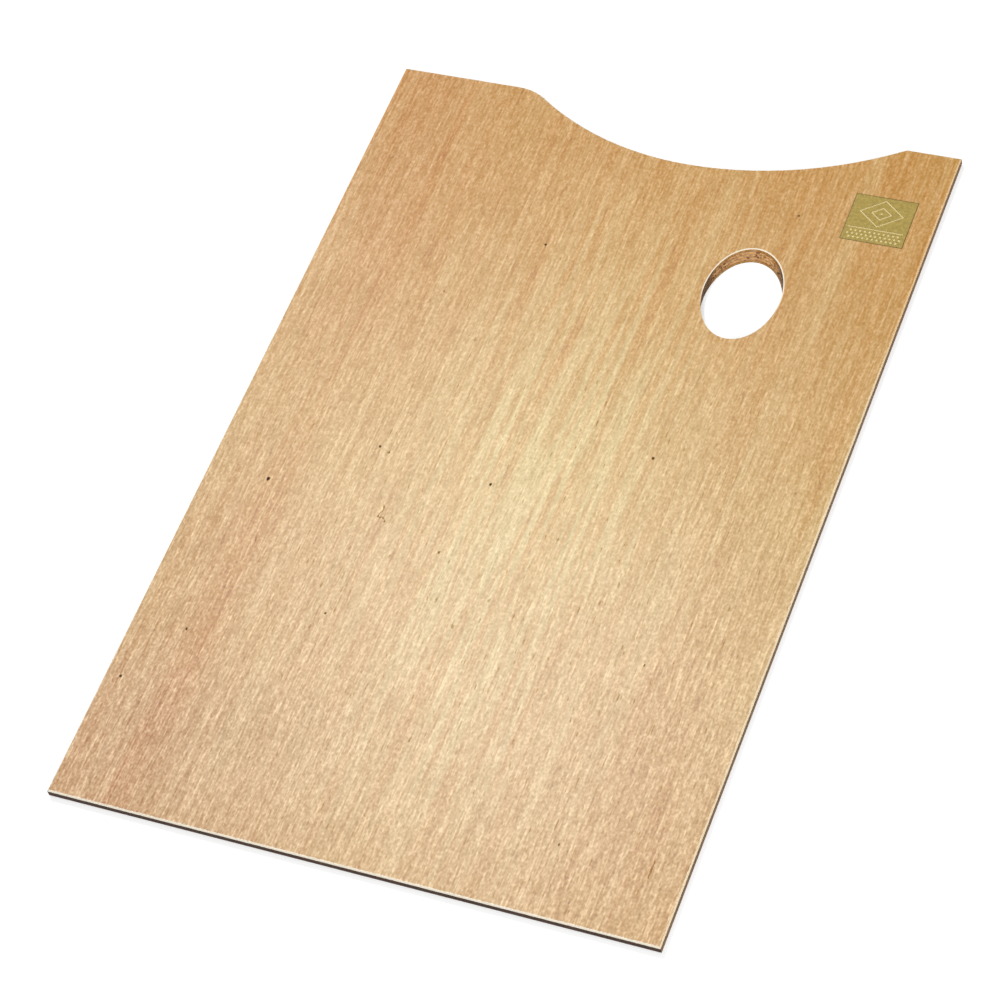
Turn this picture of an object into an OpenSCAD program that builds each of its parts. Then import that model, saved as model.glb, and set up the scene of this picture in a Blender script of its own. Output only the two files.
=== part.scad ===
// Artist's mixing palette of thin plywood: a long board with an arm rest scooped out of its far edge,
// a thumb hole bored on a slant, and a small foil label beside the right shoulder.
// The origin is the middle of the underside. +X is right, +Y is towards the arm rest and +Z is up.

/* [Board] */
// Length of the board, from its near edge to its shoulders
board_length = 395; // [320:1:480]
// Width of the board
board_width = 265; // [220:1:340]

/* [Plies] */
// Thickness of the face veneer, which paint is mixed on
face_thickness = 0.7; // [0.5:0.05:1.5]
// Thickness of a crossband, whose grain runs across the board
crossband_thickness = 0.76; // [0.5:0.02:2]
// Thickness of the core ply, whose grain runs along the board
core_thickness = 0.76; // [0.5:0.02:4]
// Thickness of the back veneer
back_thickness = 0.7; // [0.5:0.05:1.5]
// Thickness of the cured glue between two plies
glue_thickness = 0.08; // [0.05:0.01:0.2]

/* [Arm rest] */
// Depth of the arm rest below the shoulders
arm_depth = 27.5; // [18:0.5:34]
// How far its deepest point lies to the right of the board's middle
arm_offset = 15.5; // [-10:0.5:20]
// Radius of the scoop to the left of its deepest point
left_scoop = 140; // [100:1:170]
// Radius of the scoop to the right of its deepest point
right_scoop = 169; // [110:1:190]
// Radius that rolls the scoop over into the left shoulder
left_roll = 24.5; // [8:0.5:40]
// Radius that rolls the scoop over into the right shoulder
right_roll = 2; // [1:0.5:12]

/* [Thumb hole] */
// Diameter of the bit that bores the hole
thumb_bore = 34.5; // [28:0.5:44]
// Slant of the bore from upright, in degrees
thumb_slant = 45; // [20:1:50]
// Turn of the slant from the board's length, in degrees
thumb_turn = 3.5; // [0:0.5:20]
// Distance from the right edge to the middle of the hole's upper rim
thumb_from_right = 70; // [45:0.5:110]
// Distance from the shoulders to the middle of the hole's upper rim
thumb_from_shoulders = 91.5; // [70:0.5:150]

/* [Edges] */
// Width that breaking the outer arrises takes off each face and wall
arris = 0.5; // [0.2:0.05:0.5]

/* [Label] */
// Width of the label, across the board
label_width = 28; // [15:0.5:36]
// Height of the label, along the board
label_height = 25.5; // [15:0.5:36]
// Distance from the right edge to the label
label_from_right = 10.5; // [4:0.5:30]
// Distance from the shoulders to the label
label_from_shoulders = 28; // [4:0.5:50]
// Thickness of the foil
foil_thickness = 0.12; // [0.05:0.01:0.3]
// Thickness of the adhesive under the foil
adhesive_thickness = 0.06; // [0.03:0.01:0.15]
// How far the adhesive stops short of the foil's edge
adhesive_margin = 0.3; // [0:0.1:1]

/* [Hidden] */
$fn = 96;
// How far a cutting tool runs past what it cuts
overrun = 2;
// How far a roll's disc runs into its scoop's, so that the two arcs cross in one clear point
roll_lap = 0.002;
// Largest share of a veneer that breaking its arris may take
arris_limit = 0.8;

face_colour = [0.87, 0.74, 0.55];
crossband_colour = [0.62, 0.45, 0.30];
core_colour = [0.72, 0.55, 0.38];
glue_colour = [0.35, 0.22, 0.13];
adhesive_colour = [0.88, 0.85, 0.74];
foil_colour = [0.66, 0.60, 0.32];

// The stack, from the underside up
plies = [back_thickness, crossband_thickness, core_thickness, crossband_thickness, face_thickness];
face = len(plies) - 1;

function total(list, count) = count == 0 ? 0 : list[count - 1] + total(list, count - 1);
function ply_base(index) = total(plies, index) + index * glue_thickness;
function ply_top(index) = ply_base(index) + plies[index];

board_top = ply_top(face);
adhesive_top = board_top + adhesive_thickness;

near_edge = -board_length / 2;
far_edge = board_length / 2;
left_edge = -board_width / 2;
right_edge = board_width / 2;

// Each side of the arm rest is drawn to the right of its deepest point, and the left side is then mirrored
arm_low = [arm_offset, far_edge - arm_depth];
function roll_x(scoop, roll) = sqrt((scoop + roll - roll_lap) ^ 2 - (scoop + roll - arm_depth) ^ 2);
function roll_middle(scoop, roll) = [roll_x(scoop, roll), arm_depth - roll];
function roll_turn(scoop, roll) = asin(roll_x(scoop, roll) / (scoop + roll));
left_shoulder = arm_offset - roll_x(left_scoop, left_roll);
right_shoulder = arm_offset + roll_x(right_scoop, right_roll);

thumb_middle = [right_edge - thumb_from_right, far_edge - thumb_from_shoulders, board_top];
label_corner = [
    right_edge - label_from_right - label_width,
    far_edge - label_from_shoulders - label_height
];

// Region between two corners
module region(low, high) {
    translate(low) square(high - low);
}

// Region cut away on one side of the arm rest: the scoop, and what its roll takes off the shoulder
module half_arm_rest(scoop, roll) {
    middle = roll_middle(scoop, roll);
    above = arm_depth + overrun;
    intersection() {
        translate([0, scoop]) circle(scoop);
        region([0, -overrun], [middle.x, above]);
    }
    difference() {
        region([scoop * sin(roll_turn(scoop, roll)), middle.y], [middle.x, above]);
        translate(middle) circle(roll);
    }
}

// Outline of the board, seen from above
module board_outline() {
    difference() {
        region([left_edge, near_edge], [right_edge, far_edge]);
        translate(arm_low) half_arm_rest(right_scoop, right_roll);
        translate(arm_low) mirror([1, 0]) half_arm_rest(left_scoop, left_roll);
    }
}

// The bit's path, which slants down towards the near edge
module thumb_hole() {
    reach = board_top / cos(thumb_slant) + thumb_bore * tan(thumb_slant);
    translate(thumb_middle) rotate([-thumb_slant, 0, thumb_turn])
        cylinder(d = thumb_bore, h = 2 * reach, center = true);
}

// A sheet of the stack, cut to the outline and bored through
module sheet(base, thickness) {
    difference() {
        translate([0, 0, base]) linear_extrude(thickness) board_outline();
        thumb_hole();
    }
}

// What is taken off an arris: X runs out of the wall, and Y runs up out of the face
module arris_profile(width) {
    polygon([[-width, 0], [0, -width], [overrun, -width], [overrun, overrun], [-width, overrun]]);
}

// Arris along a straight wall, walked with the board on the left
module wall_arris(width, start, end) {
    along = end - start;
    translate(end) rotate([90, 0, atan2(along.y, along.x) - 90])
        linear_extrude(norm(along)) arris_profile(width);
}

// Arris along one side of the arm rest: round the scoop, and back round its roll
module half_arm_arris(width, scoop, roll) {
    turn = roll_turn(scoop, roll);
    translate([0, scoop]) rotate(270) rotate_extrude(angle = turn)
        translate([scoop, 0]) mirror([1, 0]) arris_profile(width);
    translate(roll_middle(scoop, roll)) rotate(90) rotate_extrude(angle = turn)
        translate([roll, 0]) arris_profile(width);
}

// Arris all round the outline, for a face at height 0 that looks up
module outline_arris(width) {
    wall_arris(width, [left_edge - overrun, near_edge], [right_edge + overrun, near_edge]);
    wall_arris(width, [right_edge, near_edge - overrun], [right_edge, far_edge + overrun]);
    wall_arris(width, [right_edge + overrun, far_edge], [right_shoulder, far_edge]);
    wall_arris(width, [left_shoulder, far_edge], [left_edge - overrun, far_edge]);
    wall_arris(width, [left_edge, far_edge + overrun], [left_edge, near_edge - overrun]);
    translate(arm_low) half_arm_arris(width, right_scoop, right_roll);
    translate(arm_low) mirror([1, 0, 0]) half_arm_arris(width, left_scoop, left_roll);
}

module back_veneer() {
    color(face_colour) difference() {
        sheet(ply_base(0), back_thickness);
        mirror([0, 0, 1]) outline_arris(min(arris, arris_limit * back_thickness));
    }
}

module lower_crossband() {
    color(crossband_colour) sheet(ply_base(1), crossband_thickness);
}

module core_ply() {
    color(core_colour) sheet(ply_base(2), core_thickness);
}

module upper_crossband() {
    color(crossband_colour) sheet(ply_base(3), crossband_thickness);
}

module face_veneer() {
    color(face_colour) difference() {
        sheet(ply_base(face), face_thickness);
        translate([0, 0, board_top]) outline_arris(min(arris, arris_limit * face_thickness));
    }
}

module glue_line(index) {
    color(glue_colour) sheet(ply_top(index - 1), glue_thickness);
}

module label_adhesive() {
    color(adhesive_colour) translate([0, 0, board_top]) linear_extrude(adhesive_thickness)
        region(label_corner + adhesive_margin * [1, 1],
            label_corner + [label_width, label_height] - adhesive_margin * [1, 1]);
}

module label_foil() {
    color(foil_colour) translate([0, 0, adhesive_top]) linear_extrude(foil_thickness)
        region(label_corner, label_corner + [label_width, label_height]);
}

back_veneer();
lower_crossband();
core_ply();
upper_crossband();
face_veneer();
for (index = [1 : face])
    glue_line(index);
label_adhesive();
label_foil();
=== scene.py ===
import math

import bpy
from mathutils import Matrix, Vector


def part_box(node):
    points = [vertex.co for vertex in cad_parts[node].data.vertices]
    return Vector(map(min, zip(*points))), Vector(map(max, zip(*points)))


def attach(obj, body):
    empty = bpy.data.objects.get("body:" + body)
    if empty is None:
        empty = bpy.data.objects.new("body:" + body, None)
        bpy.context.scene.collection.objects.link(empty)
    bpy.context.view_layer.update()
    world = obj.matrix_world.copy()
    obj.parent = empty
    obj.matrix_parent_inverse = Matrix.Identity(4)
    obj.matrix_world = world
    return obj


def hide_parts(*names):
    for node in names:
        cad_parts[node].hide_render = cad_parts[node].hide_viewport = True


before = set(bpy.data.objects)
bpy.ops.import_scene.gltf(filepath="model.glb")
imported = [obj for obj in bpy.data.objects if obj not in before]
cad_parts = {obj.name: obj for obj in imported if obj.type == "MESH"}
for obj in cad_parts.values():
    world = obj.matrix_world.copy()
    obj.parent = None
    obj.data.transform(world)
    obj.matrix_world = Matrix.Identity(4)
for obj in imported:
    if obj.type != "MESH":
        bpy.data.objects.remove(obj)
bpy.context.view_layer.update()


# Core ply
# The middle sheet of the plywood, rotary-cut from a plain brown timber with its fibres along the board
# and glued between the crossbands. Only its sawn edge shows, round the outline and in the thumb hole.
MM = 0.001
ALONG_BOARD = 0.0


def place(tree, kind, inputs=None, **settings):
    """Adds a shader node, and sets or links the inputs that are named."""
    node = tree.nodes.new("ShaderNode" + kind)
    for name, value in settings.items():
        setattr(node, name, value)
    for key, value in (inputs or {}).items():
        if isinstance(value, bpy.types.NodeSocket):
            tree.links.new(value, node.inputs[key])
        else:
            node.inputs[key].default_value = value
    return node


def math_node(tree, operation, *values):
    """Adds a math node and gives its output."""
    return place(tree, "Math", dict(enumerate(values)), operation=operation).outputs[0]


def vector_node(tree, operation, *values):
    """Adds a vector math node and gives its vector or its value."""
    node = place(tree, "VectorMath", dict(enumerate(values)), operation=operation)
    scalar = operation in ("DOT_PRODUCT", "DISTANCE", "LENGTH")
    return node.outputs["Value" if scalar else "Vector"]


def ramp(tree, value, low, high, to_low=0.0, to_high=1.0):
    """Runs a value smoothly from one range into another."""
    node = place(tree, "MapRange", {"Value": value, "From Min": low, "From Max": high,
                                    "To Min": to_low, "To Max": to_high})
    node.interpolation_type = "SMOOTHSTEP"
    return node.outputs[0]


def blend(tree, factor, first, second, mode="MIX"):
    """Mixes two colours."""
    node = place(tree, "Mix", {0: factor, 6: first, 7: second}, data_type="RGBA", blend_type=mode)
    return node.outputs[2]


def shades(tree, value, *colours):
    """Runs a value from 0 to 1 through evenly spaced colours."""
    node = place(tree, "ValToRGB", {"Fac": value})
    stops = node.color_ramp.elements
    for index, colour in enumerate(colours):
        stop = stops[index] if index < len(stops) else stops.new(1.0)
        stop.position = index / (len(colours) - 1)
        stop.color = colour
    return node.outputs["Color"]


def noise(tree, vector, size, detail):
    """Noise whose lumps are about size long, in mm, on each axis."""
    vector = vector_node(tree, "MULTIPLY", vector, [1.0 / s for s in size])
    node = place(tree, "TexNoise", {"Vector": vector, "Scale": 1.0, "Detail": detail})
    return node.outputs["Fac"]


def layers(tree, vector, parts):
    """Adds up noises round a half. Each part has its lumps' size, its detail and its share."""
    total = 0.5
    for size, detail, share in parts:
        part = math_node(tree, "SUBTRACT", noise(tree, vector, size, detail), 0.5)
        total = math_node(tree, "MULTIPLY_ADD", part, share, total)
    return total


def added(tree, value, mask, share, level):
    """Adds a share of a mask to a value, less the level that keeps the value round a half."""
    return math_node(tree, "MULTIPLY_ADD", mask, share, math_node(tree, "SUBTRACT", value, level))


def board_spot(tree):
    """The place on the board, in mm."""
    coords = place(tree, "TexCoord").outputs["Object"]
    return place(tree, "Mapping", {"Vector": coords, "Scale": [1 / MM] * 3}).outputs[0]


def new_material(name):
    """Starts a material, and gives it with its node tree and its shader."""
    material = bpy.data.materials.new(name)
    material.use_nodes = True
    return material, material.node_tree, material.node_tree.nodes["Principled BSDF"]


def new_group(name, inputs, outputs):
    """Starts a shader node group with named sockets."""
    tree = bpy.data.node_groups.new(name, "ShaderNodeTree")
    for socket, kind in inputs.items():
        tree.interface.new_socket(socket, in_out="INPUT", socket_type="NodeSocket" + kind)
    for socket, kind in outputs.items():
        tree.interface.new_socket(socket, in_out="OUTPUT", socket_type="NodeSocket" + kind)
    given = tree.nodes.new("NodeGroupInput").outputs
    return tree, given, tree.nodes.new("NodeGroupOutput").inputs


def put_out(tree, result, values):
    """Links a group's values to its outputs, by name."""
    for name, value in values.items():
        tree.links.new(value, result[name])


# Figure of the timbers: sizes in mm, the fibres along Y. A layer has a size, a detail and a share.
WANDER_SIZE, WANDER_REACH = (70, 170, 70), 4.0
STREAK_LAYERS = (
    ((40, 95, 40), 1, 0.40), ((20, 300, 20), 0, 0.45), ((9, 170, 9), 0, 0.35),
    ((5, 120, 5), 0, 0.42), ((2.6, 80, 2.6), 0, 0.50))
FLAME_SIZE, FLAME_RANGE = (2.8, 75, 2.8), (0.41, 0.59)
FIBRE_LAYERS = (
    ((1.3, 40, 1.3), 0, 0.40), ((0.85, 20, 0.85), 0, 0.66), ((0.90, 5.2, 0.90), 0, 0.52),
    ((0.95, 1.2, 0.95), 0, 0.76), ((1.5, 2.0, 1.5), 0, 0.28))

# Marks on the fibres, all pale but the pores: size, range, and share with the level taken off for it
DOT_SIZE, DOT_RANGE, DOT_SHARE = (0.95, 1.9, 0.95), (0.50, 0.72), (0.30, 0.07)
FLECK_SIZE, FLECK_RANGE, FLECK_SHARE = (1.1, 4.2, 1.1), (0.75, 0.15), (0.28, 0.1176)
FLECK_SCATTER = 0.85
THREAD_SIZE, THREAD_RANGE, THREAD_SHARE = (0.75, 11, 0.75), (0.62, 0.70), (0.26, 0.03)
UNEVEN_SHARE = (0.12, 0.015)
PORE_SIZE, PORE_RANGE, PORE_DEPTH = (0.70, 5.0, 0.70), (0.76, 0.84), -0.6


def wood_figure_group():
    """The figure of a sliced timber. Grain is a place in the wood in mm, the fibres along Y."""
    tree, given, result = new_group(
        "wood_figure", {"Grain": "Vector"},
        {"Streak": "Float", "Flame": "Float", "Fibre": "Float", "Pore": "Float", "Height": "Float"})
    wander = noise(tree, given["Grain"], WANDER_SIZE, 1)
    wander = math_node(tree, "MULTIPLY_ADD", wander, WANDER_REACH, -WANDER_REACH / 2)
    shift = place(tree, "CombineXYZ", {"X": wander}).outputs[0]
    fibres = vector_node(tree, "ADD", given["Grain"], shift)
    streak = layers(tree, fibres, STREAK_LAYERS)
    flame = ramp(tree, noise(tree, fibres, FLAME_SIZE, 1), *FLAME_RANGE)
    fibre = layers(tree, fibres, FIBRE_LAYERS)
    dot = ramp(tree, noise(tree, fibres, DOT_SIZE, 0), *DOT_RANGE)
    fibre = added(tree, fibre, dot, *DOT_SHARE)
    cells = vector_node(tree, "MULTIPLY", fibres, [1.0 / s for s in FLECK_SIZE])
    fleck = place(tree, "TexVoronoi", {"Vector": cells, "Scale": 1.0, "Randomness": FLECK_SCATTER})
    fibre = added(tree, fibre, ramp(tree, fleck.outputs["Distance"], *FLECK_RANGE), *FLECK_SHARE)
    thread = ramp(tree, noise(tree, fibres, THREAD_SIZE, 0), *THREAD_RANGE)
    fibre = added(tree, fibre, thread, *THREAD_SHARE)
    uneven = math_node(tree, "ABSOLUTE", math_node(tree, "SUBTRACT", fibre, 0.5))
    fibre = added(tree, fibre, uneven, *UNEVEN_SHARE)
    pore = ramp(tree, noise(tree, fibres, PORE_SIZE, 0), *PORE_RANGE)
    height = math_node(tree, "MULTIPLY_ADD", pore, PORE_DEPTH, fibre)
    put_out(tree, result, {"Streak": streak, "Flame": flame, "Fibre": fibre, "Pore": pore,
                           "Height": height})
    return tree


# The slanted thumb hole, in mm
BORE_MIDDLE = Vector((62.5, 106.0, 4.0))
BORE_RADIUS = 17.25
BORE_SLANT = math.radians(45)
BORE_TURN = math.radians(3.5)
BORE_AXIS = Vector((-math.sin(BORE_TURN) * math.sin(BORE_SLANT),
                    math.cos(BORE_TURN) * math.sin(BORE_SLANT), math.cos(BORE_SLANT)))
BORE_RANGE = (0.4, 0.2)

# How far a surface faces up where it turns into a wall, and on either side of a broken arris
WALL_RANGE = (0.98, 0.9)
ARRIS_BELOW, ARRIS_ABOVE = (0.62, 0.68), (0.80, 0.74)
END_GRAIN_RANGE = (0.25, 0.95)

# Painted shade on the sawn walls: uneven, more on the walls that face along the board, and in the
# thumb hole at its sides, its right side most of all and towards the face
PAINTED_SHADE_BASE, PAINTED_SHADE_END, PAINTED_SHADE_UNEVEN = 0.26, 0.62, 0.24
PAINTED_SHADE_SIZE = (9, 9, 30)
BORE_SIDES = (0.86, 0.98, 0.0, 0.7)
BORE_RIGHT, BORE_RIGHT_UP = (0.45, 0.90, 0.0, 0.88), (0.8, 2.8, 0.3, 1.0)
PAINTED_SHADE = (0.073, 0.037, 0.016, 1)


def sawn_edge_group():
    """Masks of a ply's edge. Spot is a place on the board in mm, Fibres the way the fibres run."""
    tree, given, result = new_group(
        "sawn_edge", {"Spot": "Vector", "Fibres": "Vector"},
        {"Wall": "Float", "Bore": "Float", "Arris": "Float", "End grain": "Float",
         "Painted shade": "Float", "Off bore": "Float"})
    normal = place(tree, "NewGeometry").outputs["Normal"]
    facing = place(tree, "SeparateXYZ", {0: normal}).outputs
    upright = math_node(tree, "ABSOLUTE", facing["Z"])
    wall = ramp(tree, upright, *WALL_RANGE)
    from_rim = vector_node(tree, "SUBTRACT", given["Spot"], BORE_MIDDLE)
    off_bore = vector_node(tree, "LENGTH", vector_node(tree, "CROSS_PRODUCT", from_rim, BORE_AXIS))
    off_bore = math_node(tree, "SUBTRACT", off_bore, BORE_RADIUS)
    bore = math_node(tree, "MULTIPLY", wall, ramp(tree, off_bore, *BORE_RANGE))
    outer = math_node(tree, "SUBTRACT", wall, bore)
    arris = math_node(tree, "MULTIPLY", ramp(tree, upright, *ARRIS_BELOW),
                      ramp(tree, upright, *ARRIS_ABOVE))
    arris = math_node(tree, "MULTIPLY", arris, outer)
    along = math_node(tree, "ABSOLUTE", vector_node(tree, "DOT_PRODUCT", normal, given["Fibres"]))
    end = ramp(tree, along, *END_GRAIN_RANGE)
    # Painted shade on the outer walls, most on those that face along the board
    outer_shade = math_node(tree, "ABSOLUTE", facing["Y"])
    outer_shade = math_node(tree, "MULTIPLY_ADD", outer_shade, PAINTED_SHADE_END, PAINTED_SHADE_BASE)
    patches = noise(tree, given["Spot"], PAINTED_SHADE_SIZE, 2)
    outer_shade = math_node(tree, "MULTIPLY_ADD", patches, PAINTED_SHADE_UNEVEN, outer_shade)
    # Painted shade in the thumb hole at its sides, most on its right side towards the face
    sides = ramp(tree, math_node(tree, "ABSOLUTE", facing["X"]), *BORE_SIDES)
    up = place(tree, "SeparateXYZ", {0: given["Spot"]}).outputs["Z"]
    right = ramp(tree, math_node(tree, "MULTIPLY", facing["X"], -1.0), *BORE_RIGHT)
    right = math_node(tree, "MULTIPLY", right, ramp(tree, up, *BORE_RIGHT_UP))
    sides = math_node(tree, "MAXIMUM", sides, right)
    painted_shade = math_node(tree, "MULTIPLY_ADD", bore, sides,
                       math_node(tree, "MULTIPLY", outer, outer_shade))
    put_out(tree, result, {"Wall": wall, "Bore": bore, "Arris": arris, "End grain": end,
                           "Painted shade": painted_shade, "Off bore": off_bore})
    return tree


wood_figure = wood_figure_group()
sawn_edge = sawn_edge_group()


def wood(name, turn, offset):
    """Starts a wood: its shader, its place on the board, its figure and its edge masks."""
    material, tree, shader = new_material(name)
    spot = board_spot(tree)
    grain = place(tree, "Mapping", {"Vector": spot, "Rotation": (0, 0, turn), "Location": offset})
    figure = place(tree, "Group", node_tree=wood_figure)
    tree.links.new(grain.outputs[0], figure.inputs["Grain"])
    edge = place(tree, "Group", node_tree=sawn_edge)
    tree.links.new(spot, edge.inputs["Spot"])
    edge.inputs["Fibres"].default_value = (math.sin(turn), math.cos(turn), 0)
    return material, tree, shader, spot, figure.outputs, edge.outputs


# Torn grain in the thumb hole, and the finish of the sawn wood
TORN_SIZE, TORN_RANGE, TORN_DEPTH, TORN_ROUGH = (2.0, 2.0, 1.2), (0.58, 0.68), 0.85, 0.2
PLY_ROUGH, PLY_GLOSS, PLY_BUMP, PLY_RELIEF = 0.62, 0.25, 0.6, 0.06


def inner_ply(name, turn, offset, side, end):
    """Wood that shows only at its sawn edge: the shades of its side grain and of its end grain."""
    material, tree, shader, spot, figure, edge = wood(name, turn, offset)
    side_grain = shades(tree, figure["Fibre"], *side)
    end_grain = shades(tree, figure["Fibre"], *end)
    colour = blend(tree, edge["End grain"], side_grain, end_grain)
    torn = math_node(tree, "MULTIPLY", edge["Bore"],
                     ramp(tree, noise(tree, spot, TORN_SIZE, 1), *TORN_RANGE))
    colour = blend(tree, math_node(tree, "MULTIPLY", torn, TORN_DEPTH), colour, end[0])
    # Painted shade on the sawn wall
    colour = blend(tree, edge["Painted shade"], colour, PAINTED_SHADE, "MULTIPLY")
    tree.links.new(colour, shader.inputs["Base Color"])
    rough = math_node(tree, "MULTIPLY_ADD", torn, TORN_ROUGH, PLY_ROUGH)
    tree.links.new(rough, shader.inputs["Roughness"])
    bump = place(tree, "Bump", {"Height": figure["Height"], "Strength": PLY_BUMP,
                                "Distance": PLY_RELIEF * MM})
    tree.links.new(bump.outputs[0], shader.inputs["Normal"])
    shader.inputs["Specular IOR Level"].default_value = PLY_GLOSS
    return material


def finish(node, material):
    """Gives a CAD node its material."""
    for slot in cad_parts[node].material_slots:
        slot.material = material


finish("core_ply", inner_ply(
    "core_wood", ALONG_BOARD, (31, 7, 3),
    side=((0.48, 0.250, 0.095, 1), (0.72, 0.410, 0.165, 1), (0.84, 0.520, 0.232, 1)),
    end=((0.14, 0.045, 0.018, 1), (0.68, 0.365, 0.140, 1), (0.82, 0.490, 0.205, 1))))


# Crossbands
# The two sheets glued above and below the core, with their fibres across the board to keep it flat.
# They are of a redder timber, and show end grain along the board's two long sides.
ACROSS_BOARD = math.pi / 2
crossband_wood = inner_ply(
    "crossband_wood", ACROSS_BOARD, (-12, 19, 5),
    side=((0.42, 0.190, 0.072, 1), (0.66, 0.345, 0.136, 1), (0.79, 0.460, 0.200, 1)),
    end=((0.15, 0.040, 0.018, 1), (0.56, 0.262, 0.107, 1), (0.72, 0.390, 0.172, 1)))
for node in ("lower_crossband", "upper_crossband"):
    finish(node, crossband_wood)


# Glue lines
# Four films of cured resin glue, pressed out hot between the plies and sawn flush with them.
# They show as hairlines, dark and slightly glossy, with a few thin and starved places.
GLUE_LINES = 4
FULL_GLUE, STARVED_GLUE = (0.075, 0.036, 0.018, 1), (0.20, 0.105, 0.052, 1)
STARVED_SIZE, STARVED_RANGE, STARVED_ROUGH = (3.0, 3.0, 3.0), (0.5, 0.7), 0.3
GLUE_ROUGH = 0.38
glue, tree, shader = new_material("cured_glue")
starved = ramp(tree, noise(tree, board_spot(tree), STARVED_SIZE, 3), *STARVED_RANGE)
tree.links.new(blend(tree, starved, FULL_GLUE, STARVED_GLUE), shader.inputs["Base Color"])
rough = math_node(tree, "MULTIPLY_ADD", starved, STARVED_ROUGH, GLUE_ROUGH)
tree.links.new(rough, shader.inputs["Roughness"])
for index in range(1, GLUE_LINES + 1):
    finish("glue_line_%d" % index, glue)


# Veneers
# The face and back sheets, sliced from a pale tan timber with cream streaks, glued on, sanded and sealed
# with a satin coat. The eased arrises show bare wood with a painted highlight, the middle
# has painted sheen, and the face has a few specks and a hair.
FAR_WOOD = (0.517, 0.277, 0.074, 1)
MIDDLE_WOOD = (0.515, 0.310, 0.087, 1)
NEAR_WOOD = (0.508, 0.303, 0.105, 1)
DRIFT_RANGE = (180.0, -180.0)
# Painted sheen down the middle of the face: paler there, with stronger cream streaks
SHEEN_MIDDLE, SHEEN_REACH = Vector((14, -10, 0)), (1 / 90, 1 / 250, 0)
PAINTED_SHEEN, SHEEN_FLAME = (0.020, 0.045, 0.015), (0.032, 0.077, 0.058)
RUDDY_RANGE, RUDDY_SHIFT = (-60.0, -118.0), (-0.003, -0.016, 0.001)
CORNER_TINTS = (((10.0, -80.0), (-100.0, -165.0), (0.0, 0.003, 0.025)),
                ((88.0, 130.0), (-70.0, -150.0), (-0.018, -0.026, -0.018)))
STREAK_SWING = (0.070, 0.124, 0.090)
FLAME_SWING = (0.014, 0.018, 0.013)
FIBRE_SWING = (0.280, 0.243, 0.174)

# Strength of the fibres, from the left to the right of the far end and of the near end
STRENGTH_RANGE, FAR_STRENGTH, NEAR_STRENGTH = (0.0, 110.0), (0.80, 0.68), (1.17, 1.27)
DARKEST_WOOD = (0.02, 0.02, 0.02)
PORE_SHADE, PORE_COLOUR, PORE_ROUGH = 0.35, (0.26, 0.115, 0.040, 1), 0.15
SAWN_END, SAWN_END_SHADE = (0.75, 0.62, 0.55, 1), 0.45

# Bare wood on the arrises with a painted highlight, duller along the far part of the sides
BARE_END_HIGHLIGHT, BARE_SIDE_HIGHLIGHT = (0.985, 0.945, 0.82, 1), (1.0, 0.84, 0.57, 1)
DULL_SIDE, DULL_RANGE = (0.95, 0.66, 0.345, 1), (40.0, 120.0)
BARE_HIGHLIGHT_COVER = 0.95
COAT_ROUGH, WALL_ROUGH, COAT_GLOSS = 0.345, 0.25, 0.38
VENEER_BUMP, VENEER_RELIEF = 0.5, 0.03

# Marks on the face: a mark fades between two shares of its radius. A speck has its place across and
# along the board, its radius in mm and its darkness.
MARK_EDGE = (1.15, 0.65)
SPECKS = (
    (-103.8, -32.8, 0.80, 1.0), (-8.5, -13.0, 0.60, 0.95), (54.0, 15.5, 0.55, 0.9),
    (-31.0, 113.0, 0.55, 0.9), (-107.5, -111.5, 0.55, 0.9), (-62.5, -5.8, 0.50, 0.9),
    (-52.8, -89.8, 0.45, 0.85), (-17.3, -50.3, 0.50, 0.6), (79.5, -165.8, 0.45, 0.6),
    (-125.5, -139.5, 0.55, 0.9), (84.5, -80.8, 0.45, 0.6), (-57.3, -7.8, 0.40, 0.6),
    (73.1, 152.0, 0.50, 0.7), (-66.1, 78.7, 0.40, 0.4), (-48.9, -34.5, 0.40, 0.5),
    (-49.6, -39.4, 0.42, 0.5), (-45.9, -41.2, 0.40, 0.45))
SPECK_HALF = 0.2
HAIR = ((-49.2, -33.6), (-48.5, -35.2), (-48.8, -36.7), (-49.5, -38.1), (-49.6, -39.5),
        (-48.7, -40.0), (-47.9, -39.4), (-46.4, -40.3), (-45.8, -41.3))
HAIR_RADIUS, HAIR_DARKNESS = 0.30, 0.30
MARK_COLOUR, MARK_ROUGH = (0.030, 0.015, 0.008, 1), 0.6
GUM_STREAK = ((118.1, -162.9), (117.9, -170.5))
GUM_RADIUS, GUM_DARKNESS, GUM_COLOUR = 0.38, 0.6, (0.24, 0.075, 0.020, 1)
RAGGED_SCALE, RAGGED_DETAIL, RAGGED_REACH = 1.4, 2.0, (0.9, 0.9, 0)
ACROSS_FACE = (1, 1, 0)

# Margins of the face by its front and right edges and the thumb hole's lip, painted pale as a
# highlight: widths in mm, and how far the colour covers
FRONT_MARGIN, RIGHT_MARGIN, LIP_MARGIN = (0.90, 0.50), (0.85, 0.45), (0.60, 0.30)
LIP_RANGE = (-12.0, 4.0)
TOP_BELOW, HIGHLIGHT_COVER = (0.05, 0.02), 0.7
PATCH_SIZE, PATCH_RANGE, PATCH_COVER = (1.6, 4.0, 1.6), (0.40, 0.58), (0.3, 1.0)


def scaled(tree, vector, scale):
    """Scales a vector by a value."""
    return place(tree, "VectorMath", {0: vector, "Scale": scale}, operation="SCALE").outputs[0]


def swing(tree, colour, value, reach):
    """Moves a colour to either side by a value that varies round a half."""
    value = math_node(tree, "SUBTRACT", value, 0.5)
    return vector_node(tree, "MULTIPLY_ADD", value, reach, colour)


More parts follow.
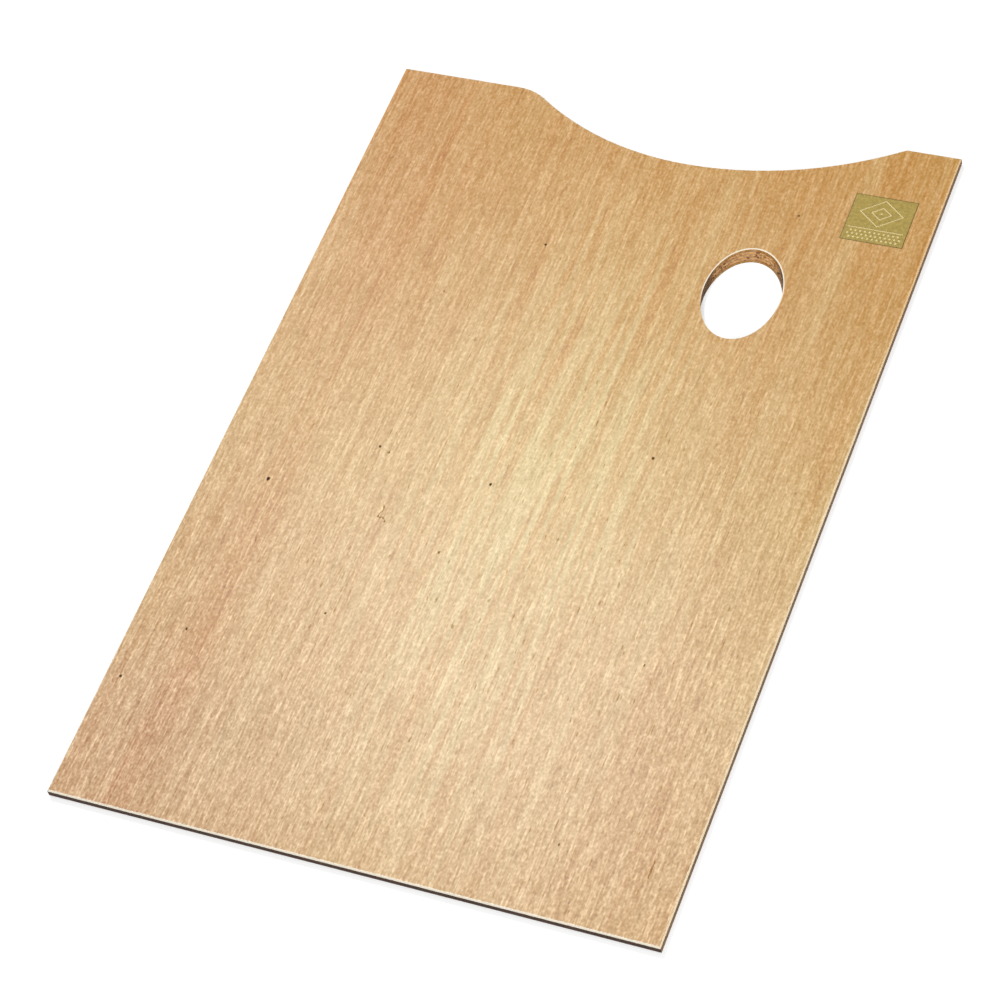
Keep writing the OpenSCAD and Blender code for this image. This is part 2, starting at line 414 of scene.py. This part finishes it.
def veneer(name, offset):
    """Wood of an outer ply, with its sealed face, eased arrises and sawn walls."""
    material, tree, shader, spot, figure, edge = wood(name, ALONG_BOARD, offset)
    axes = place(tree, "SeparateXYZ", {0: spot}).outputs
    drift = ramp(tree, axes["Y"], *DRIFT_RANGE)
    colour = shades(tree, drift, FAR_WOOD, MIDDLE_WOOD, NEAR_WOOD)
    # Painted sheen: a paler middle with stronger cream streaks
    away = vector_node(tree, "SUBTRACT", spot, SHEEN_MIDDLE)
    away = vector_node(tree, "LENGTH", vector_node(tree, "MULTIPLY", away, SHEEN_REACH))
    painted_sheen = ramp(tree, away, 1.0, 0.0)
    colour = vector_node(tree, "MULTIPLY_ADD", painted_sheen, PAINTED_SHEEN, colour)
    ruddy = ramp(tree, axes["X"], *RUDDY_RANGE)
    colour = vector_node(tree, "MULTIPLY_ADD", ruddy, RUDDY_SHIFT, colour)
    for across, along, shift in CORNER_TINTS:
        corner = math_node(tree, "MULTIPLY", ramp(tree, axes["X"], *across),
                           ramp(tree, axes["Y"], *along))
        colour = vector_node(tree, "MULTIPLY_ADD", corner, shift, colour)
    colour = swing(tree, colour, figure["Streak"], STREAK_SWING)
    reach = vector_node(tree, "MULTIPLY_ADD", painted_sheen, SHEEN_FLAME, FLAME_SWING)
    colour = swing(tree, colour, figure["Flame"], reach)
    far = ramp(tree, axes["X"], *STRENGTH_RANGE, *FAR_STRENGTH)
    near = ramp(tree, axes["X"], *STRENGTH_RANGE, *NEAR_STRENGTH)
    strength = place(tree, "Mix", {0: drift, 2: far, 3: near}).outputs[0]
    colour = swing(tree, colour, figure["Fibre"], scaled(tree, FIBRE_SWING, strength))
    colour = vector_node(tree, "MAXIMUM", colour, DARKEST_WOOD)
    pore = math_node(tree, "MULTIPLY", figure["Pore"], PORE_SHADE)
    colour = blend(tree, pore, colour, PORE_COLOUR)
    sawn = blend(tree, edge["End grain"], colour, SAWN_END, "MULTIPLY")
    # Painted shade on the sawn walls, weaker where they show end grain
    wall_shade = ramp(tree, edge["End grain"], 0.0, 1.0, 1.0, SAWN_END_SHADE)
    wall_shade = math_node(tree, "MULTIPLY", edge["Painted shade"], wall_shade)
    sawn = blend(tree, wall_shade, sawn, PAINTED_SHADE, "MULTIPLY")
    colour = blend(tree, edge["Wall"], colour, sawn)
    # Bare wood on the arrises, painted paler as a highlight
    bare_side_highlight = blend(tree, ramp(tree, axes["Y"], *DULL_RANGE), BARE_SIDE_HIGHLIGHT, DULL_SIDE)
    bare_highlight = blend(tree, edge["End grain"], bare_side_highlight, BARE_END_HIGHLIGHT)
    colour = blend(tree, math_node(tree, "MULTIPLY", edge["Arris"], BARE_HIGHLIGHT_COVER), colour, bare_highlight)
    rough = math_node(tree, "MULTIPLY_ADD", figure["Pore"], PORE_ROUGH, COAT_ROUGH)
    rough = math_node(tree, "MULTIPLY_ADD", edge["Wall"], WALL_ROUGH, rough)
    bump = place(tree, "Bump", {"Height": figure["Height"], "Strength": VENEER_BUMP,
                                "Distance": VENEER_RELIEF * MM})
    tree.links.new(bump.outputs[0], shader.inputs["Normal"])
    shader.inputs["Specular IOR Level"].default_value = COAT_GLOSS
    return material, tree, shader, spot, edge, colour, rough, bare_side_highlight


back_wood, tree, shader, spot, edge, colour, rough, bare_side_highlight = veneer("back_wood", (140, 60, 9))
tree.links.new(colour, shader.inputs["Base Color"])
tree.links.new(rough, shader.inputs["Roughness"])
finish("back_veneer", back_wood)


def stroke(tree, spot, start, end, radius, darkness):
    """Mask of a mark that runs from start to end on the face."""
    start, along = Vector((*start, 0)), Vector((end[0] - start[0], end[1] - start[1], 0))
    offset = vector_node(tree, "SUBTRACT", spot, start)
    share = vector_node(tree, "DOT_PRODUCT", offset, along / along.length_squared)
    share = place(tree, "Clamp", {0: share}).outputs[0]
    away = vector_node(tree, "DISTANCE", offset, scaled(tree, along, share))
    return ramp(tree, away, *(share * radius for share in MARK_EDGE), 0.0, darkness)


def darkest(tree, masks):
    """The strongest of several masks."""
    strongest = masks[0]
    for mask in masks[1:]:
        strongest = math_node(tree, "MAXIMUM", strongest, mask)
    return strongest


face_wood, tree, shader, spot, edge, colour, rough, bare_side_highlight = veneer("face_wood", (-90, -1400, 0))
ragged = place(tree, "TexNoise", {"Vector": spot, "Scale": RAGGED_SCALE, "Detail": RAGGED_DETAIL})
ragged = vector_node(tree, "SUBTRACT", ragged.outputs["Color"], (0.5, 0.5, 0.5))
ragged = vector_node(tree, "MULTIPLY_ADD", ragged, RAGGED_REACH, spot)
ragged_spot = vector_node(tree, "MULTIPLY", ragged, ACROSS_FACE)
flat_spot = vector_node(tree, "MULTIPLY", spot, ACROSS_FACE)
specks = darkest(tree, [
    stroke(tree, ragged_spot, (x, y - SPECK_HALF), (x, y + SPECK_HALF), radius, darkness)
    for x, y, radius, darkness in SPECKS])
hair = darkest(tree, [stroke(tree, flat_spot, start, end, HAIR_RADIUS, HAIR_DARKNESS)
                      for start, end in zip(HAIR, HAIR[1:])])
mark = math_node(tree, "MAXIMUM", specks, hair)
colour = blend(tree, mark, colour, MARK_COLOUR)
gum = stroke(tree, ragged_spot, *GUM_STREAK, GUM_RADIUS, GUM_DARKNESS)
colour = blend(tree, gum, colour, GUM_COLOUR)
low, high = (Vector(corner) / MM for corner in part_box("face_veneer"))
axes = place(tree, "SeparateXYZ", {0: spot}).outputs
wavering = place(tree, "SeparateXYZ", {0: ragged}).outputs
# Painted highlight along the front and right edges and the thumb hole's lip
front = ramp(tree, math_node(tree, "SUBTRACT", wavering["Y"], low.y), *FRONT_MARGIN)
right = ramp(tree, math_node(tree, "SUBTRACT", high.x, wavering["X"]), *RIGHT_MARGIN)
beyond = math_node(tree, "SUBTRACT", axes["Y"], BORE_MIDDLE.y)
lip = math_node(tree, "MULTIPLY", ramp(tree, edge["Off bore"], *LIP_MARGIN),
                ramp(tree, beyond, *LIP_RANGE))
top = ramp(tree, axes["Z"], *(high.z - below for below in TOP_BELOW), 0.0, HIGHLIGHT_COVER)
patchy = ramp(tree, noise(tree, spot, PATCH_SIZE, 1), *PATCH_RANGE, *PATCH_COVER)
right = math_node(tree, "MULTIPLY", math_node(tree, "MULTIPLY", right, patchy), top)
colour = blend(tree, right, colour, bare_side_highlight)
painted_highlight = math_node(tree, "MULTIPLY", math_node(tree, "MAXIMUM", front, lip), top)
colour = blend(tree, painted_highlight, colour, BARE_END_HIGHLIGHT)
tree.links.new(colour, shader.inputs["Base Color"])
matt = math_node(tree, "MAXIMUM", mark, gum)
rough = math_node(tree, "MULTIPLY_ADD", matt, MARK_ROUGH, rough)
tree.links.new(rough, shader.inputs["Roughness"])
finish("face_veneer", face_wood)


# Label adhesive
# A film of pressure-sensitive adhesive that holds the label, a little smaller than the foil on it.
# It is milky, and full of the fine bubbles that rolling the label on leaves behind.
MILKY_FILM, BUBBLED_FILM = (0.62, 0.56, 0.40, 1), (0.80, 0.76, 0.62, 1)
BUBBLE_SIZE, BUBBLE_RANGE, BUBBLE_ROUGH = (0.5, 0.5, 0.5), (0.55, 0.65), 0.3
FILM_ROUGH = 0.3
adhesive, tree, shader = new_material("label_gum")
bubbles = ramp(tree, noise(tree, board_spot(tree), BUBBLE_SIZE, 2), *BUBBLE_RANGE)
tree.links.new(blend(tree, bubbles, MILKY_FILM, BUBBLED_FILM), shader.inputs["Base Color"])
rough = math_node(tree, "MULTIPLY_ADD", bubbles, BUBBLE_ROUGH, FILM_ROUGH)
tree.links.new(rough, shader.inputs["Roughness"])
finish("label_adhesive", adhesive)


# Label foil
# A small sheet of olive-gold foil paper, embossed with two diamonds over a band of beads under a line.
# The press lifts the pattern out of the sheet and polishes its tops, which carry a painted
# highlight, and the cut edge rolls down, with painted shade along it.
FOIL_STEP = 0.16
RELIEF = 0.06
EDGE_ROLL = 0.03
ROLL_STEPS = 3
LINE_WIDTH = 0.5
BEAD_WIDTH = 1.15
BEAD_PITCH = 2.1
BEAD_ROWS = (2.0, 3.8, 5.6)
BAND_LINE = 7.3
SIDE_MARGIN = 1.7
DIAMOND_HALF = (9.6, 7.2)
INNER_DIAMOND = 0.45
FOIL_SHADES = ((0.175, 0.125, 0.016, 1), (0.345, 0.250, 0.048, 1), (0.52, 0.385, 0.098, 1))
CLOUD_SIZE, CLOUD_ROUGH, FOIL_ROUGH = (1.3, 1.3, 1.3), 0.2, 0.42
# Polished tops of the relief, with a painted highlight
POLISHED_FOIL_HIGHLIGHT, FOIL_HIGHLIGHT_COVER = (0.76, 0.62, 0.33, 1), 0.75
POLISH_ABOVE_SHEET, POLISH_BELOW_TOP = 0.01, 0.012
# Painted shade along the rolled cut edge of the foil
CUT_EDGE_SHADE, CUT_SHADE_COVER, CUT_BELOW_SHEET = (0.10, 0.075, 0.022, 1), 0.85, (0.003, 0.02)
FOIL_METAL, FOIL_GLOSS = 0.12, 0.35
TOOTH_SIZE, TOOTH_BUMP, TOOTH_RELIEF = (0.3, 0.3, 0.3), 0.4, 0.015
low, high = (Vector(corner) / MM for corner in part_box("label_foil"))
foil_size = high - low


def ridge(distance, width):
    """Height of a rounded ridge, from 0 to 1, at a distance from its middle line."""
    return max(0.0, 1.0 - (2.0 * distance / width) ** 2) ** 0.5


def diamond(across, up, share):
    """Height of a diamond's outline, whose size is a share of the large one's."""
    wide, tall = DIAMOND_HALF[0] * share, DIAMOND_HALF[1] * share
    off = abs(abs(across) / wide + abs(up) / tall - 1.0) * wide * tall / math.hypot(wide, tall)
    return ridge(off, LINE_WIDTH)


def foil_relief(across, up):
    """Share of the relief at a place on the label, from the middle of its lower edge."""
    side = foil_size.x / 2 - SIDE_MARGIN
    if abs(across) > side:
        return 0.0
    height = ridge(up - BAND_LINE, LINE_WIDTH)
    for index, row in enumerate(BEAD_ROWS):
        stagger = 0.5 * (index % 2)
        bead = (round(across / BEAD_PITCH + stagger) - stagger) * BEAD_PITCH
        if abs(bead) < side - BEAD_WIDTH / 2:
            height = max(height, ridge(math.hypot(across - bead, up - row), BEAD_WIDTH))
    up -= (BAND_LINE + foil_size.y) / 2
    height = max(height, diamond(across, up, 1.0), diamond(across, up, INNER_DIAMOND))
    return max(height, ridge(math.hypot(across, up), BEAD_WIDTH))


columns = round(foil_size.x / FOIL_STEP)
rows = round(foil_size.y / FOIL_STEP)
points = []
for row in range(rows + 1):
    for column in range(columns + 1):
        x = foil_size.x * column / columns
        y = foil_size.y * row / rows
        inward = min(column, row, columns - column, rows - row)
        rolled = max(0.0, 1.0 - inward / ROLL_STEPS) * EDGE_ROLL
        z = foil_size.z - RELIEF - rolled + RELIEF * foil_relief(x - foil_size.x / 2, y)
        points.append(low + Vector((x, y, z)))
width = columns + 1
quads = [(r * width + c, r * width + c + 1, (r + 1) * width + c + 1, (r + 1) * width + c)
         for r in range(rows) for c in range(columns)]
rim = (list(range(columns)) + [r * width + columns for r in range(rows)]
       + [rows * width + c for c in range(columns, 0, -1)]
       + [r * width for r in range(rows, 0, -1)])
first = len(points)
points += [Vector((points[i].x, points[i].y, low.z)) for i in rim]
count = len(rim)
quads += [(rim[(k + 1) % count], rim[k], first + k, first + (k + 1) % count) for k in range(count)]
quads.append([first + k for k in range(count - 1, -1, -1)])
foil_mesh = bpy.data.meshes.new("label_foil_embossed")
foil_mesh.from_pydata([point * MM for point in points], [], quads)
for polygon in foil_mesh.polygons[:rows * columns]:
    polygon.use_smooth = True
foil_mesh.update()
foil = bpy.data.objects.new("label_foil_embossed", foil_mesh)
bpy.context.scene.collection.objects.link(foil)

gilt, tree, shader = new_material("olive_gold_foil")
spot = board_spot(tree)
level = place(tree, "SeparateXYZ", {0: spot}).outputs["Z"]
sheet_top = high.z - RELIEF
# Painted highlight on the polished tops of the relief
polished_highlight = ramp(tree, level, sheet_top + POLISH_ABOVE_SHEET, high.z - POLISH_BELOW_TOP)
# Painted shade along the rolled cut edge
cut_edge_shade = ramp(tree, level, *(sheet_top - below for below in CUT_BELOW_SHEET))
clouding = noise(tree, spot, CLOUD_SIZE, 2)
colour = shades(tree, clouding, *FOIL_SHADES)
polished_highlight = math_node(tree, "MULTIPLY", polished_highlight, FOIL_HIGHLIGHT_COVER)
colour = blend(tree, polished_highlight, colour, POLISHED_FOIL_HIGHLIGHT)
colour = blend(tree, math_node(tree, "MULTIPLY", cut_edge_shade, CUT_SHADE_COVER), colour, CUT_EDGE_SHADE)
tree.links.new(colour, shader.inputs["Base Color"])
rough = math_node(tree, "MULTIPLY_ADD", clouding, CLOUD_ROUGH, FOIL_ROUGH)
tree.links.new(rough, shader.inputs["Roughness"])
shader.inputs["Metallic"].default_value = FOIL_METAL
shader.inputs["Specular IOR Level"].default_value = FOIL_GLOSS
tooth = place(tree, "Bump", {"Height": noise(tree, spot, TOOTH_SIZE, 2), "Strength": TOOTH_BUMP,
                             "Distance": TOOTH_RELIEF * MM})
tree.links.new(tooth.outputs[0], shader.inputs["Normal"])
foil_mesh.materials.append(gilt)
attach(foil, "root")
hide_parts("label_foil")


# Floor and light
# A pale studio table under one soft lamp behind the board, a broad one overhead, and weak ones to the
# right and in front. The table is seen as white, keeps the board's shadow and throws little light back.
FLOOR_HALF, FLOOR_DROP, FLOOR_ROUGH = 4, 0.0002, 0.9
UNSEEN_PAPER, SEEN_PAPER = (0.10, 0.10, 0.10, 1), (0.52, 0.52, 0.52, 1)
NEAR_GLOW, GLOW_RANGE = (0.56, 0.56, 0.56, 1), (0.5, 2.2)
BLACK, WHITE = (0, 0, 0, 1), (1, 1, 1, 1)
SURROUND = (0.13, 0.13, 0.13, 1)
BOARD_MIDDLE = Vector((0.0, 0.0, 0.004))

# Lamps: name, width in metres, watts and place
SOFTBOXES = (("back_softbox", 0.5, 28.0, (-0.80, 0.98, 2.0)),
             ("overhead_softbox", 1.5, 12.5, (0.1, -0.1, 2.2)),
             ("right_softbox", 0.8, 13.0, (2.0, -0.35, 1.1)),
             ("front_softbox", 0.8, 20.0, (0.35, -1.9, 1.5)))
floor_mesh = bpy.data.meshes.new("studio_floor")
floor_mesh.from_pydata([(-FLOOR_HALF, -FLOOR_HALF, 0), (FLOOR_HALF, -FLOOR_HALF, 0),
                        (FLOOR_HALF, FLOOR_HALF, 0), (-FLOOR_HALF, FLOOR_HALF, 0)],
                       [], [(0, 1, 2, 3)])
floor = bpy.data.objects.new("studio_floor", floor_mesh)
bpy.context.scene.collection.objects.link(floor)
floor.location.z = -FLOOR_DROP
paper, tree, shader = new_material("studio_paper")
shader.inputs["Roughness"].default_value = FLOOR_ROUGH
shader.inputs["Specular IOR Level"].default_value = 0.0
ray = place(tree, "LightPath").outputs
seen = math_node(tree, "MAXIMUM", ray["Is Camera Ray"], ray["Is Glossy Ray"])
seen = math_node(tree, "MAXIMUM", seen, ray["Is Transmission Ray"])
tree.links.new(blend(tree, seen, UNSEEN_PAPER, SEEN_PAPER), shader.inputs["Base Color"])
reach = vector_node(tree, "LENGTH", place(tree, "TexCoord").outputs["Object"])
glow = blend(tree, ramp(tree, reach, *GLOW_RANGE), NEAR_GLOW, WHITE)
tree.links.new(blend(tree, seen, BLACK, glow), shader.inputs["Emission Color"])
shader.inputs["Emission Strength"].default_value = 1.0
floor_mesh.materials.append(paper)

world = bpy.data.worlds.new("studio_surround")
bpy.context.scene.world = world
world.use_nodes = True
tree = world.node_tree
ray = place(tree, "LightPath").outputs
surround = tree.nodes["Background"]
tree.links.new(blend(tree, ray["Is Camera Ray"], SURROUND, WHITE), surround.inputs["Color"])
surround.inputs["Strength"].default_value = 1.0

for name, size, energy, stand in SOFTBOXES:
    lamp = bpy.data.lights.new(name, "AREA")
    lamp.shape = "DISK"
    lamp.size = size
    lamp.energy = energy
    softbox = bpy.data.objects.new(name, lamp)
    bpy.context.scene.collection.objects.link(softbox)
    softbox.location = stand
    toward = softbox.location - BOARD_MIDDLE
    softbox.rotation_euler = toward.to_track_quat("Z", "Y").to_euler()


# Camera
# It stands at the photograph's viewpoint, above the board's near right corner and rolled to the
# right. The place is in metres, and the lens is given for a sensor 36 mm wide.
SENSOR_WIDTH, LENS, FARTHEST = 36.0, 120.12, 50.0
VIEWPOINT = (0.4827, -0.6903, 1.1156)
LOOK_AHEAD, LOOK_UP = Vector((-0.3496, 0.4841, -0.8022)), Vector((-0.1932, 0.8005, 0.5673))
camera_data = bpy.data.cameras.new("camera")
camera_data.sensor_width = SENSOR_WIDTH
camera_data.lens = LENS
camera_data.clip_end = FARTHEST
camera = bpy.data.objects.new("camera", camera_data)
bpy.context.scene.collection.objects.link(camera)
ahead = LOOK_AHEAD.normalized()
rightward = ahead.cross(LOOK_UP).normalized()
upward = rightward.cross(ahead)
turned = Matrix((rightward, upward, -ahead)).transposed().to_4x4()
camera.matrix_world = Matrix.Translation(VIEWPOINT) @ turned
bpy.context.scene.camera = camera
bpy.context.scene.view_settings.view_transform = "Standard"
